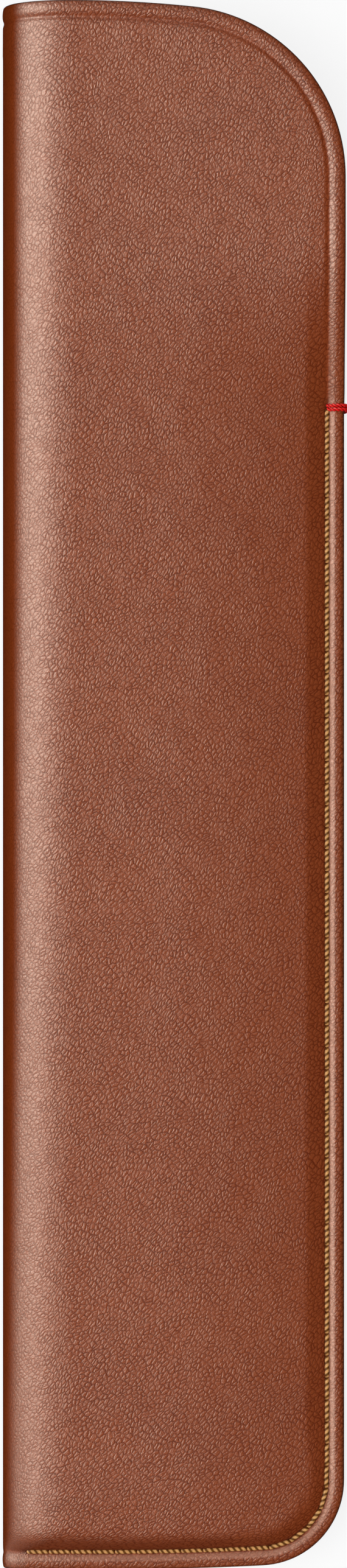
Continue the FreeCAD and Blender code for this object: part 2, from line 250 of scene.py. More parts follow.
def wallHeight(x, y, depth=0.0, rimLow=None, front=True):
    # half height of the wall at a depth below the leather's face
    foot = form["footInset"] + form["footSlide"] * depth
    inwards = edgeDistance(x, y) - foot
    steep = np.interp(inwards, *steepBase)
    if front:                                   # the front is gentler along the sewn edge
        steep = steep + (np.interp(inwards, *steepSide) - steep) * smooth(*form["steepTurn"], y)
    sideStart, sideReach, frontShare, backShare = form["sideEase"]
    baseReach, baseShare = form["baseEase"]
    toSide = 1.0 - np.clip((width - foot - sideStart - x) / sideReach, 0.0, 1.0)
    toBase = 1.0 - np.clip((y - foot) / baseReach, 0.0, 1.0)
    ease = toSide ** form["sidePower"]
    if front:
        even = np.clip((x - halfDepth) / (width - foot - sideStart - halfDepth), 0.0, 1.0)
        ease = ease + form["sideSlope"] * (even ** form["slopePower"] - ease)
    rise = 1.0 - (frontShare if front else backShare) * ease
    rise = rise * (1.0 - baseShare * toBase ** 2) * (1.0 - steep)
    rim = rimHeight(y, front) - depth
    if rimLow is not None:
        rim = rimLow + openShare(y) * (halfDepth - form["lipSag"] - depth - rimLow)
    return rim + (frontDepth(y, front) - depth - rim) * rise


def foldRadius(y):
    return wallHeight(np.zeros_like(y), y)


# cut outline of one wall, sampled from the fold along the bottom, up the sewn edge and back along the mouth
outlineSteps = {"baseLine": 14, "baseBow": 18, "baseHalf": 12, "side": 300, "mouthHalf": 18, "mouthBow": 26}


def outlineRun():
    steps = outlineSteps
    points, inward = [], []

    def arc(centre, radius, start, end, count, last=False):
        for angle in np.linspace(start, end, count + 1)[:None if last else -1]:
            direction = np.array([math.cos(angle), math.sin(angle)])
            points.append(np.array(centre) + radius * direction)
            inward.append(-direction)

    corner, bow, start = form["baseCorner"], form["baseBow"], form["baseBowStart"]
    across = width - corner - start
    lean = math.asin(across / (bow - corner))
    baseCentre = (width - corner, bow - math.sqrt((bow - corner) ** 2 - across ** 2))
    foldX = float(foldRadius(np.array([0.0]))[0])
    for x in np.linspace(foldX, start, steps["baseLine"] + 1)[:-1]:
        points.append(np.array([x, 0.0]))
        inward.append(np.array([0.0, 1.0]))
    arc((start, bow), bow, -math.pi / 2, lean - math.pi / 2, steps["baseBow"])
    middle = (lean - math.pi / 2) / 2
    arc(baseCentre, corner, lean - math.pi / 2, middle, steps["baseHalf"])
    arc(baseCentre, corner, middle, 0.0, steps["baseHalf"])
    corner, bow, start = form["mouthCorner"], form["mouthBow"], form["mouthBowStart"]
    across = width - corner - start
    lean = math.asin(across / (bow - corner))
    mouthCentre = (width - corner, length - bow + math.sqrt((bow - corner) ** 2 - across ** 2))
    for y in np.linspace(baseCentre[1], mouthCentre[1], steps["side"] + 1)[:-1]:
        points.append(np.array([width, y]))
        inward.append(np.array([-1.0, 0.0]))
    middle = (math.pi / 2 - lean) / 2
    arc(mouthCentre, corner, 0.0, middle, steps["mouthHalf"])
    arc(mouthCentre, corner, middle, math.pi / 2 - lean, steps["mouthHalf"])
    end = math.acos((halfDepth - start) / bow)
    arc((start, length - bow), bow, math.pi / 2 - lean, end, steps["mouthBow"], True)
    points[-1][1] = length
    return np.array(points), np.array(inward)


outlinePoints, outlineInward = outlineRun()
acrossCount = outlineSteps["baseLine"] + outlineSteps["baseBow"] + outlineSteps["baseHalf"]
alongCount = outlineSteps["baseHalf"] + outlineSteps["side"] + outlineSteps["mouthHalf"]


def ringAt(inset):
    # the outline moved inwards by inset, which may differ along it; its ends stay where the fold begins
    inset = np.broadcast_to(np.asarray(inset, float), (len(outlinePoints),))
    points = outlinePoints + outlineInward * inset[:, None]
    start = outlinePoints[0, 0]
    slide = foldRadius(inset[:1])[0] - start
    line = np.clip((form["baseBowStart"] - outlinePoints[:, 0]) / (form["baseBowStart"] - start), 0.0, 1.0)
    line[acrossCount:] = 0.0
    points[:, 0] += slide * line
    return points


def coreGrid(ring):
    # even grid inside the innermost ring, blended from its four sides
    n, m = acrossCount, alongCount
    base, side, mouth = ring[:n + 1], ring[n:n + m + 1], ring[n + m:][::-1]
    v = (side[:, 1] - side[0, 1]) / (side[-1, 1] - side[0, 1])
    rows = base[0, 1] + (mouth[0, 1] - base[0, 1]) * v
    fold = np.stack([foldRadius(rows), rows], axis=1)

    def share(run):
        steps = np.concatenate([[0.0], np.cumsum(np.linalg.norm(np.diff(run, axis=0), axis=1))])
        return steps / steps[-1]

    u = ((share(base) + share(mouth)) / 2)[:, None, None]
    v = v[None, :, None]
    grid = (1 - v) * base[:, None] + v * mouth[:, None] + (1 - u) * fold[None] + u * side[None]
    grid -= (1 - u) * ((1 - v) * base[0] + v * mouth[0]) + u * ((1 - v) * base[-1] + v * mouth[-1])
    return grid


class Wall:
    # plan of one wall: rings along its free edges, then an even grid; the fold side is its left column
    def __init__(self, insets):
        rings = np.array([ringAt(inset) for inset in insets])
        grid = coreGrid(rings[-1])
        n, m = acrossCount, alongCount
        ringCount, ringLength = rings.shape[:2]
        ids = np.arange(ringCount * ringLength).reshape(ringCount, ringLength)
        coreIds = np.full((n + 1, m + 1), -1)
        last = ids[-1]
        coreIds[:, 0] = last[:n + 1]
        coreIds[n, :] = last[n:n + m + 1]
        coreIds[:, m] = last[n + m:][::-1]
        free = coreIds < 0
        coreIds[free] = ids.size + np.arange(free.sum())
        self.ringIds = ids
        self.plan = np.concatenate([rings.reshape(-1, 2), grid[free]])
        far = 1000.0                                # the grid counts as far from any edge
        ringInsets = np.array([np.broadcast_to(np.asarray(i, float), (ringLength,)) for i in insets])
        self.inset = np.concatenate([ringInsets.ravel(), np.full(free.sum(), far)])
        self.foldIds = np.concatenate([ids[:, 0], coreIds[0, 1:m], ids[::-1, -1]])
        self.faces = []
        for a, b in zip(ids[:-1], ids[1:]):
            self.faces += zip(a[:-1].tolist(), a[1:].tolist(), b[1:].tolist(), b[:-1].tolist())
        for a, b in zip(coreIds[:-1], coreIds[1:]):
            self.faces += zip(a[:-1].tolist(), b[:-1].tolist(), b[1:].tolist(), a[1:].tolist())


def stripAcross(x, y):
    # distance from the fold line, measured over the unfolded strip
    radius = foldRadius(y)
    return foldFlat + (x - radius) * (width - halfDepth) / (width - radius)


def alongStrip(x, y):
    # height on the unfolded strip: the steep closed end takes up more of it than it shows from the front
    level, takenUp = form["closedEnd"]
    return y - takenUp * (wallHeight(x, np.maximum(y, level)) - wallHeight(x, y))


def foldSpread(x, y, z, front):
    # how far a layer at height z reaches round the fold
    return foldRadius(y) + z - wallHeight(x, y, 0.0, None, front)


def noValues(x, y, inset, lean, isInner):
    return {}


def foldedPiece(name, wall, outer, inner, material, withFold, foldSteps, valuesAt=noValues):
    # closed sheet: the wall's outer and inner faces, and for the front also the whole fold.
    # outer and inner give (z, spread in x) for plan points; front and back meet under the sleeve
    side = 1.0 if withFold else -1.0
    x, y = wall.plan[:, 0], wall.plan[:, 1]
    faceSets, points, flats, values = [], [], [], []
    rowX, rowY = wall.plan[wall.foldIds, 0], wall.plan[wall.foldIds, 1]
    rowInset = wall.inset[wall.foldIds]
    rows = len(rowY)
    angles = np.linspace(math.pi / 2, -math.pi / 2, foldSteps + 1)[1:]
    start = 0
    foldTables = []
    for layer in (outer, inner):
        z, spread = layer(x, y, wall.inset, withFold)
        points.append(np.stack([x, y, side * z], axis=1))
        flats.append(np.stack([side * stripAcross(x, y), alongStrip(x, y)], axis=1))
        values.append(valuesAt(x, y, wall.inset, np.zeros_like(x), layer is inner))
        table = [start + wall.foldIds]
        start += len(x)
        if withFold:
            rz, rx = layer(rowX, rowY, rowInset, True)
            rzBack = layer(rowX, rowY, rowInset, False)[0]
            for angle in angles:
                foldX = rowX - rx * math.cos(angle)
                rz = rz if angle > 0.0 else rzBack
                points.append(np.stack([foldX, rowY, rz * math.sin(angle)], axis=1))
                flats.append(np.stack([np.full(rows, angle * halfDepth), alongStrip(rowX, rowY)], axis=1))
                lean = np.full(rows, math.cos(angle))
                values.append(valuesAt(foldX, rowY, rowInset, lean, layer is inner))
                table.append(start + np.arange(rows))
                start += rows
        foldTables.append(np.array(table))
    count = start // 2
    merged = np.arange(start)
    edgeIds = wall.ringIds[0]                       # both faces share the edge itself
    merged[edgeIds + count] = edgeIds
    if withFold:
        for column in range(1, foldSteps + 1):
            for row in (0, rows - 1):
                merged[foldTables[1][column, row]] = foldTables[0][column, row]
    for layer in (0, 1):
        offset = layer * count
        turn = (layer == 0) == withFold
        for face in wall.faces:
            ids = [f + offset for f in face]
            faceSets.append(ids if turn else ids[::-1])
        if withFold:
            table = foldTables[layer]
            for column in range(foldSteps):
                a, b = table[column], table[column + 1]
                for row in range(rows - 1):
                    ids = [b[row], a[row], a[row + 1], b[row + 1]]
                    faceSets.append(ids if layer == 0 else ids[::-1])
    outerEnd, innerEnd = foldTables[0][-1], foldTables[1][-1]
    for row in range(rows - 1):
        faceSets.append([outerEnd[row], outerEnd[row + 1], innerEnd[row + 1], innerEnd[row]])
    clean = []
    for ids in faceSets:
        ids = [int(merged[i]) for i in ids]
        ids = [i for k, i in enumerate(ids) if i != ids[k - 1]]
        if len(ids) > 2:
            clean.append(ids)
    used = np.zeros(start, bool)
    used[[i for ids in clean for i in ids]] = True
    renumber = np.cumsum(used) - 1
    clean = [[int(renumber[i]) for i in ids] for ids in clean]
    points = toFrame(np.concatenate(points)[used])
    flats = np.concatenate(flats)[used] * mm
    values = {k: np.concatenate([v[k] for v in values])[used] for k in values[0]}
    return meshObject(name, points, clean, material, flats, values)


# seam settings, read by the leather too
seamStitches = {
    "count": 64, "top": 126.15, "inset": 1.94, "end": 2.65,
    "baseInset": 2.12, "baseTurn": (3.0, 14.0),       # a little further in along the bottom
    "length": 2.4, "radius": 0.235, "cordSteps": 19, "cordSides": 9,
    "bands": 3.65, "grooveShare": 0.1,                # the thread's twist
    "dive": 0.42, "divePower": 14.0, "sink": 0.08, "slant": 0.14,
    "wobble": 0.012, "twistWobble": 6.0, "seed": 7,
    # the thread's colour, and painted shade in the grooves between its plies
    "colour": (0.78, 0.41, 0.145), "dark": (0.14, 0.045, 0.003), "groove": (0.1, 0.85),
}


def seamInset(y):
    return between((seamStitches["baseInset"], seamStitches["inset"]), smooth(*seamStitches["baseTurn"], y))


# outer leather; pairs of creases and beads are for the open edge and the sewn edge
leatherLook = {
    "thickness": 1.2, "liningRoom": 0.7, "roomReach": (0.7, 1.2), "glueGap": 0.03,
    "creaseInset": 1.85, "creaseDepth": (0.12, 0.1), "creaseHalf": (0.3, 0.42),
    "bead": (0.26, 0.27), "beadInset": 0.95, "beadHalf": 0.75, "beadBase": 0.55, "beadFade": (1.7, 2.3),
    "foldCrease": (0.7, 0.1), "foldBead": 0.3,        # what is left of them round the fold
    "edgeRound": 0.3, "edgeDrop": 0.4, "edgeGap": 0.04, "innerRound": 0.4,
    "rings": (0.0, 0.02, 0.07, 0.15, 0.27, 0.42, 0.6, 0.8, 1.0, 1.2, 1.36, 1.5, 1.62, 1.74, 1.86, 1.98, 2.1,
              2.24, 2.4, 2.65, 2.95, 3.3, 3.65, 4.0, 4.3, 4.55, 4.8, 5.3),
    "foldSteps": 24,
    # finish
    # the second colour is dye in the furrows with painted shade there and on the fold's side; the third is edge
    # paint, also used as painted shade along the stitches
    "colour": (0.285, 0.055, 0.012), "valley": (0.15, 0.021, 0.004), "paint": (0.03, 0.006, 0.003),
    "paintFull": 0.04, "paintAndShadeReach": (0.38, 0.2), "paintAndShadeTurn": (3.0, 12.0),       # along the bottom, elsewhere; the wider reach along the bottom is painted shade on the downward-facing rim
    # painted highlight: a lighter band on the bead's flank beside the stitches, where light from the left would
    # fall; weaker on the open edge, fading towards the mouth and the closed end
    "wear": (0.58, 0.29, 0.195), "rimHighlightShare": 0.8, "rimHighlightBand": (1.05, 1.25, 1.66, 1.8),
    "rimHighlightSewn": (0.25, 1.0), "rimHighlightTop": (140.0, 160.0), "rimHighlightBase": (0.55, 1.0), "rimHighlightTurn": (4.0, 14.0),
    # seamShade: painted shade along the stitch line, in the edge paint's colour
    "seamShade": 0.85, "seamHalf": 0.27, "seamStart": (1.5, 3.0), "creaseFlat": 0.3,
    "roughness": 0.585, "roughen": (0.1, 0.05),       # more in furrows, and by the fine grain
    "specular": 1.0, "wax": 0.11, "valleyWax": 0.6,
    "dullLean": (0.64, 0.85),                         # from waxed to dull round the fold
    "endLean": (0.12, 75.0),                          # the dull strip and the fold's painted shade narrow towards the closed end
    # painted shade on the fold's side, darkest where it turns furthest from the light, in the furrows' colour
    "foldShade": 0.55, "shadeLean": (0.72, 0.98),
    # grain: cells across in mm, and finer or coarser patterns as a multiple of their scale
    "grainAcross": 0.38, "grainStretch": 1.7, "grainAngle": 48.0, "randomness": (0.82, 1.0),
    "wander": ((180.0, 0.0012), (2200.0, 0.00016)),   # scale and reach in metres
    "crumbs": 2.3, "fine": 4.0, "patches": 0.45,
    "broadScale": 90.0,                               # in a metre
    "furrows": (0.65, 1.0), "furrowPatch": (0.3, 0.65),       # some shallow, some deep
    "pebbleBevel": 0.4, "crumbBevel": 0.4, "valleyWidth": 0.22,
    "relief": (0.048, 0.021, 0.017),                  # pebbles, crumbs and fine grain, mm
    "pressed": (0.4, 0.35, 0.8),                      # how far the crease, the painted highlight on the rim and the edge paint flatten it
    "foldSmooth": 0.4, "smoothLean": (0.05, 0.5),     # it lies flatter round the fold
    "darken": (0.62, 0.2, 0.3), "darkest": 0.9,       # by furrows and crumbs, as dye there and painted shade, and by broad patches
}


def creasePlace(y):
    # along the open edge at its own inset, along the sewn edge under the stitches
    return between((leatherLook["creaseInset"], seamInset(y)), sewnShare(y))


def leatherOuter(x, y, inset, front=True):
    look = leatherLook
    sewn = sewnShare(y)
    depth, half, crown = (between(look[k], sewn) for k in ("creaseDepth", "creaseHalf", "bead"))
    wall = wallHeight(x, y, 0.0, None, front)
    groove = depth * np.exp(-((inset - creasePlace(y)) / half) ** 2)
    bead = np.clip(1.0 - ((inset - look["beadInset"]) / look["beadHalf"]) ** 2, 0.0, 1.0) - look["beadBase"]
    bead = crown * bead * (1.0 - smooth(*look["beadFade"], inset))
    full = rimHeight(np.zeros_like(y), front) - look["edgeGap"]
    drop = between((look["edgeDrop"], full), sewn)
    over = roundOver(inset, look["edgeRound"])
    spread = foldRadius(y) - groove * between(look["foldCrease"], sewn) + look["foldBead"] * bead
    return wall - groove + bead - drop * over, spread - look["edgeDrop"] * over


def leatherInner(x, y, inset, front=True):
    look = leatherLook
    room = look["liningRoom"] * smooth(*look["roomReach"], inset) + look["glueGap"]
    z = wallHeight(x, y, look["thickness"], room, front)
    z = z + (1.0 - sewnShare(y)) * look["innerRound"] * roundOver(inset, look["innerRound"])
    return z, foldSpread(x, y, z, front)


def leatherValues(x, y, inset, lean, isInner):
    look = leatherLook
    sewn = sewnShare(y)
    # painted highlight on the bead's flank beside the stitches
    start, full, fall, end = look["rimHighlightBand"]
    wear = smooth(start, full, inset) * (1.0 - smooth(fall, end, inset)) * between(look["rimHighlightSewn"], sewn)
    wear = wear * (1.0 - smooth(*look["rimHighlightTop"], y)) * between(look["rimHighlightBase"], smooth(*look["rimHighlightTurn"], y))
    wear = wear * (1.0 - lean)
    # painted shade along the stitch line
    seam = np.exp(-((inset - seamInset(y)) / look["seamHalf"]) ** 4) * sewn * smooth(*look["seamStart"], x)
    crease = np.exp(-((inset - creasePlace(y)) / look["creaseFlat"]) ** 2)
    # edge paint; its wider reach along the bottom is painted shade
    reach = between(look["paintAndShadeReach"], smooth(*look["paintAndShadeTurn"], y))
    paint = 1.0 - smooth(look["paintFull"], reach, inset)
    if isInner:
        paint, wear, seam = np.ones_like(x), np.zeros_like(x), np.zeros_like(x)
    lessLean, endReach = look["endLean"]
    lean = lean * (1.0 - lessLean * (1.0 - smooth(0.0, endReach, y)))
    return {"edgePaint": paint, "crease": crease, "rimWear": wear, "seamShade": seam, "foldLean": lean}


def shiftedBy(tree, vector, scale, reach):
    # the vector moved about by a noise, reach in metres
    noise = sheetNoise(tree, vector, scale, 1.0, None, "Color")
    centred = addNode(tree, "ShaderNodeVectorMath", {"operation": "SUBTRACT"}, {0: noise, 1: (0.5, 0.5, 0.5)})
    pull = addNode(tree, "ShaderNodeVectorMath", {"operation": "SCALE"}, {0: centred, "Scale": reach})
    return addNode(tree, "ShaderNodeVectorMath", {"operation": "ADD"}, {0: vector, 1: pull})


def leatherMaterial():
    look = leatherLook
    material, tree = newMaterial("cognacLeather")
    flat = addNode(tree, "ShaderNodeUVMap", {"uv_map": "flat"})
    moved = flat
    for scale, reach in look["wander"]:
        moved = shiftedBy(tree, moved, scale, reach)
    turned = addNode(tree, "ShaderNodeMapping", {"vector_type": "TEXTURE"},
                     {"Vector": moved, "Rotation": (0.0, 0.0, math.radians(look["grainAngle"]))})
    along = addNode(tree, "ShaderNodeMapping", {},
                    {"Vector": turned, "Scale": (1.0 / look["grainStretch"], 1.0, 1.0)})
    grainScale = 1000.0 / look["grainAcross"]          # cells in a metre
    cell = cellEdge(tree, along, grainScale, look["randomness"][0])
    small = cellEdge(tree, along, grainScale * look["crumbs"], look["randomness"][1])
    fine = sheetNoise(tree, turned, grainScale * look["fine"], 2.0)
    patch = sheetNoise(tree, along, grainScale * look["patches"], 1.0)
    broad = sheetNoise(tree, flat, look["broadScale"], 3.0)
    depth = between(look["furrows"], smoothRange(tree, patch, *look["furrowPatch"]))
    pebble = smoothRange(tree, cell, 0.0, look["pebbleBevel"])
    crumb = smoothRange(tree, small, 0.0, look["crumbBevel"])
    valley = depth * (1.0 - smoothRange(tree, cell, 0.0, look["valleyWidth"]))
    paint, crease, wear, seam, lean = (attributeValue(tree, name) for name in
                                       ("edgePaint", "crease", "rimWear", "seamShade", "foldLean"))
    pebbleRise, crumbRise, fineRise = look["relief"]
    relief = pebbleRise * depth * pebble + crumbRise * crumb + fineRise * fine
    stretched = 1.0 - look["foldSmooth"] * smoothRange(tree, lean, *look["smoothLean"])
    byCrease, byRimHighlight, byPaint = look["pressed"]
    height = relief * stretched * (1.0 - byCrease * crease) * (1.0 - byRimHighlight * wear) * (1.0 - byPaint * paint)
    # darker in furrows and crumbs, as dye there and painted shade, and in broad patches of tone
    byValley, byCrumb, byBroad = look["darken"]
    low = byValley * valley * stretched + byCrumb * (1.0 - crumb) + byBroad * (broad - 0.5)
    skin = opaque(look["colour"])
    # colours laid over the skin: the furrows' dye and painted shade, painted shade on the fold's side, a
    # painted highlight on the rim, painted shade along the stitches, and the edge paint
    for share, tint in ((smoothRange(tree, low, 0.0, look["darkest"]), "valley"),
                        (look["foldShade"] * smoothRange(tree, lean, *look["shadeLean"]), "valley"),
                        (look["rimHighlightShare"] * wear, "wear"), (look["seamShade"] * seam, "paint"),
                        (paint, "paint")):
        skin = mixColour(tree, share, skin, opaque(look[tint]))
    inValley, byFine = look["roughen"]
    sockets = {"Base Color": skin, "Roughness": look["roughness"] + inValley * valley + byFine * (0.5 - fine),
               "Normal": bumpFrom(tree, height, 1.0, mm)}
    waxed = addNode(tree, "ShaderNodeBsdfPrincipled", {}, {**sockets, "Specular IOR Level": look["specular"]})
    dull = addNode(tree, "ShaderNodeBsdfPrincipled", {}, {**sockets, "Specular IOR Level": 0.0})
    upright = 1.0 - smoothRange(tree, lean, *look["dullLean"])
    waxless = 1.0 - look["wax"] * upright * (1.0 - look["valleyWax"] * valley * stretched)
    both = addNode(tree, "ShaderNodeMixShader", {}, {0: waxless, 1: waxed, 2: dull})
    addNode(tree, "ShaderNodeOutputMaterial", {}, {"Surface": both})
    return material


cognacLeather = leatherMaterial()
leatherWall = Wall(leatherLook["rings"])
frontLeather = foldedPiece("front_leather", leatherWall, leatherOuter, leatherInner, cognacLeather, True,
                           leatherLook["foldSteps"], leatherValues)
backLeather = foldedPiece("back_leather", leatherWall, leatherOuter, leatherInner, cognacLeather, False,
                          leatherLook["foldSteps"], leatherValues)
print("leather:", len(frontLeather.data.polygons), "and", len(backLeather.data.polygons), "faces")


# lining
liningLook = {
    "outerDepth": 1.76, "outerRim": 0.64, "innerDepth": 2.3, "innerRim": 0.1,
    "edge": (0.6, 1.15), "edgeRound": 0.25, "edgeDrop": 0.27,       # inset of its edge: open, sewn
    "rings": (0.0, 0.05, 0.15, 0.3, 0.7, 1.2, 1.8, 2.6),
    "foldSteps": 20,
    "colour": (0.20, 0.105, 0.055), "dark": (0.12, 0.058, 0.028), "tone": (0.3, 0.7),
    "napScale": 3500.0, "napRoughness": 0.7, "napShare": 0.55, "napBump": (0.7, 0.00012),
    "brushScale": 160.0, "brushDistortion": 0.6,
    "roughness": 0.93, "napPolish": 0.06, "specular": 0.15, "sheen": (0.35, 0.4),
}


def liningEdge(y):
    return between(liningLook["edge"], sewnShare(y))


def liningOuter(x, y, inset, front=True):
    look = liningLook
    z = wallHeight(x, y, look["outerDepth"], look["outerRim"], front)
    z = z - look["edgeDrop"] * roundOver(np.maximum(inset - liningEdge(y), 0.0), look["edgeRound"])
    return z, foldSpread(x, y, z, front)


def liningInner(x, y, inset, front=True):
    z = wallHeight(x, y, liningLook["innerDepth"], liningLook["innerRim"], front)
    return z, foldSpread(x, y, z, front)


def suedeMaterial():
    look = liningLook
    material, tree = newMaterial("liningSuede")
    flat = addNode(tree, "ShaderNodeUVMap", {"uv_map": "flat"})
    nap = sheetNoise(tree, flat, look["napScale"], 4.0, {"Roughness": look["napRoughness"]})
    brushed = sheetNoise(tree, flat, look["brushScale"], 3.0, {"Distortion": look["brushDistortion"]})
    tone = smoothRange(tree, between((brushed, nap), look["napShare"]), *look["tone"])
    colour = mixColour(tree, tone, opaque(look["dark"]), opaque(look["colour"]))
    sheenWeight, sheenRoughness = look["sheen"]
    closeMaterial(tree, {"Base Color": colour, "Roughness": look["roughness"] - look["napPolish"] * nap,
                         "Normal": bumpFrom(tree, nap, *look["napBump"]),
                         "Specular IOR Level": look["specular"],
                         "Sheen Weight": sheenWeight, "Sheen Roughness": sheenRoughness})
    return material


liningSuede = suedeMaterial()
liningWall = Wall([liningEdge(outlinePoints[:, 1]) + ring for ring in liningLook["rings"]])
frontLining = foldedPiece("front_lining", liningWall, liningOuter, liningInner, liningSuede, True,
                          liningLook["foldSteps"])
backLining = foldedPiece("back_lining", liningWall, liningOuter, liningInner, liningSuede, False,
                         liningLook["foldSteps"])
print("lining:", len(frontLining.data.polygons), "and", len(backLining.data.polygons), "faces")


# seam: a row of twisted stitches on each face
threadFinish = {
    "fibreScale": 12000.0, "fibreRoughness": 0.6, "fibreRange": (0.3, 0.7), "tone": (0.75, 1.25),
    "bump": (0.5, 0.00002), "roughness": (0.45, 0.65), "specular": 0.04,
}


def threadMaterial(name, look):
    finish = threadFinish
    material, tree = newMaterial(name)
    place = addNode(tree, "ShaderNodeTexCoord", {}, {}, "Object")
    fibre = addNode(tree, "ShaderNodeTexNoise", {},
                    {"Vector": place, "Scale": finish["fibreScale"], "Detail": 2.0,
                     "Roughness": finish["fibreRoughness"]}, "Fac")
    # painted shade: darker in the grooves between the plies
    outside = smoothRange(tree, attributeValue(tree, "plyReach"), *look["groove"])
    tone = outside * between(finish["tone"], smoothRange(tree, fibre, *finish["fibreRange"]))
    shade = mixColour(tree, tone, opaque(look["dark"]), opaque(look["colour"]))
    closeMaterial(tree, {"Base Color": shade, "Roughness": between(finish["roughness"], fibre),
                         "Normal": bumpFrom(tree, fibre, *finish["bump"]),
                         "Specular IOR Level": finish["specular"]})
    return material


def stitchTree():
    look = seamStitches
    tree = bpy.data.node_groups.new("stitchRow", "GeometryNodeTree")
    face = tree.interface
    face.new_socket("Seam", in_out="INPUT", socket_type="NodeSocketGeometry")
    kinds = {"Stitches": "Int", "Stitch Length": "Float", "Thread Radius": "Float", "Bands": "Float",
             "Groove Share": "Float", "Dive": "Float", "Slant": "Float", "Wobble": "Float", "Seed": "Int",
             "Thread": "Material"}
    for name, kind in kinds.items():
        face.new_socket(name, in_out="INPUT", socket_type="NodeSocket" + kind)
    face.new_socket("Stitching", in_out="OUTPUT", socket_type="NodeSocketGeometry")

    def ask(name):
        return addNode(tree, "NodeGroupInput", {}, {}, name)

    curve = addNode(tree, "GeometryNodeMeshToCurve", {}, {"Mesh": ask("Seam")})
    curve = addNode(tree, "GeometryNodeSetCurveNormal", {"mode": "Z_UP"}, {"Curve": curve})
    half = 0.5 / ask("Stitches")
    curve = addNode(tree, "GeometryNodeTrimCurve", {"mode": "FACTOR"},
                    {0: curve, "Start": half, "End": 1.0 - half})
    middles = addNode(tree, "GeometryNodeCurveToPoints", {"mode": "COUNT"},       # one point for each stitch
                      {"Curve": curve, "Count": ask("Stitches")}, "Points")
    heading = Wire(tree, middles.socket.node.outputs["Rotation"])
    half = 0.5 * ask("Stitch Length")
    start = addNode(tree, "ShaderNodeCombineXYZ", {}, {"Z": 0.0 - half})
    end = addNode(tree, "ShaderNodeCombineXYZ", {}, {"Z": half})
    cord = addNode(tree, "GeometryNodeCurvePrimitiveLine", {}, {"Start": start, "End": end})
    cord = addNode(tree, "GeometryNodeResampleCurve", {}, {"Curve": cord, "Count": look["cordSteps"]})
    ring = addNode(tree, "GeometryNodeCurvePrimitiveCircle", {},
                   {"Resolution": look["cordSides"], "Radius": ask("Thread Radius")})
    tube = addNode(tree, "GeometryNodeCurveToMesh", {},
                   {"Curve": cord, "Profile Curve": ring, "Fill Caps": True})
    place = addNode(tree, "GeometryNodeInputPosition")
    across, down, reach = (addNode(tree, "ShaderNodeSeparateXYZ", {}, {0: place}, axis) for axis in "XYZ")
    turn = down.math("ARCTAN2", down, across)
    lay = turn - 2.0 * math.pi * ask("Bands") * reach / ask("Stitch Length")
    crest = 0.5 + 0.5 * lay.math("COSINE", lay)                # 1 on the twist, 0 in its groove
    # kept for the thread's painted shade in the grooves
    tube = addNode(tree, "GeometryNodeStoreNamedAttribute", {"data_type": "FLOAT", "domain": "POINT"},
                   {"Geometry": tube, "Name": "plyReach", "Value": crest})
    pinch = ask("Groove Share") * (crest - 1.0)
    endShare = abs(reach / half)
    sink = addNode(tree, "ShaderNodeCombineXYZ", {},
                   {"X": across * pinch, "Y": down * pinch + ask("Dive") * endShare ** look["divePower"],
                    "Z": ask("Slant") * across})
    tube = addNode(tree, "GeometryNodeSetPosition", {}, {"Geometry": tube, "Offset": sink})
    tube = addNode(tree, "GeometryNodeSetShadeSmooth", {}, {0: tube})
    row = addNode(tree, "GeometryNodeInstanceOnPoints", {},
                  {"Points": middles, "Instance": tube, "Rotation": heading})
    low, high = (addNode(tree, "ShaderNodeCombineXYZ", {},
                         {"X": sign * ask("Wobble"), "Y": sign * ask("Wobble"),
                          "Z": sign * look["twistWobble"] * ask("Wobble")}) for sign in (-1.0, 1.0))
    uneven = addNode(tree, "FunctionNodeRandomValue", {"data_type": "FLOAT_VECTOR"},
                     {0: low, 1: high, "Seed": ask("Seed")})
    row = addNode(tree, "GeometryNodeRotateInstances", {}, {"Instances": row, "Rotation": uneven})
    row = addNode(tree, "GeometryNodeRealizeInstances", {}, {"Geometry": row})
    row = addNode(tree, "GeometryNodeSetMaterial", {}, {"Geometry": row, "Material": ask("Thread")})
    addNode(tree, "NodeGroupOutput", {}, {0: row})
    return tree


def seamLine():
    # from the tack down the sewn edge, round the corner and along the bottom towards the fold
    ring = ringAt(seamInset(outlinePoints[:, 1]))[:acrossCount + alongCount + 1][::-1]
    ring = ring[ring[:, 1] < seamStitches["top"]]
    sideOnly = ring[:, 1] > 2 * seamStitches["baseInset"]
    ring = ring[(ring[:, 0] > seamStitches["end"]) | sideOnly]
    start, end = [ring[0, 0], seamStitches["top"]], [seamStitches["end"], seamStitches["baseInset"]]
    return np.concatenate([[start], ring, [end]])


def stitchRow(name, side, tree, material):
    look = seamStitches
    line = seamLine()
    inset = seamInset(line[:, 1])
    z = leatherOuter(line[:, 0], line[:, 1], inset, side > 0.0)[0] + look["radius"] - look["sink"]
    points = toFrame(np.stack([line[:, 0], line[:, 1], side * z], axis=1))
    mesh = bpy.data.meshes.new(name)
    mesh.from_pydata([tuple(p) for p in points], [(i, i + 1) for i in range(len(points) - 1)], [])
    row = bpy.data.objects.new(name, mesh)
    bpy.context.scene.collection.objects.link(row)
    modifier = row.modifiers.new("stitches", "NODES")
    modifier.node_group = tree
    numbers = {"Stitches": look["count"], "Stitch Length": look["length"] * mm,
               "Thread Radius": look["radius"] * mm, "Bands": look["bands"],
               "Groove Share": look["grooveShare"], "Dive": side * look["dive"] * mm,
               "Slant": side * look["slant"], "Wobble": look["wobble"], "Seed": look["seed"],
               "Thread": material}
    for item in tree.interface.items_tree:
        if item.in_out == "INPUT" and item.name in numbers:
            modifier[item.identifier] = numbers[item.name]
    bpy.context.view_layer.update()
    made = bpy.data.meshes.new_from_object(row.evaluated_get(bpy.context.evaluated_depsgraph_get()))
    row.modifiers.clear()
    row.data = made
    return row


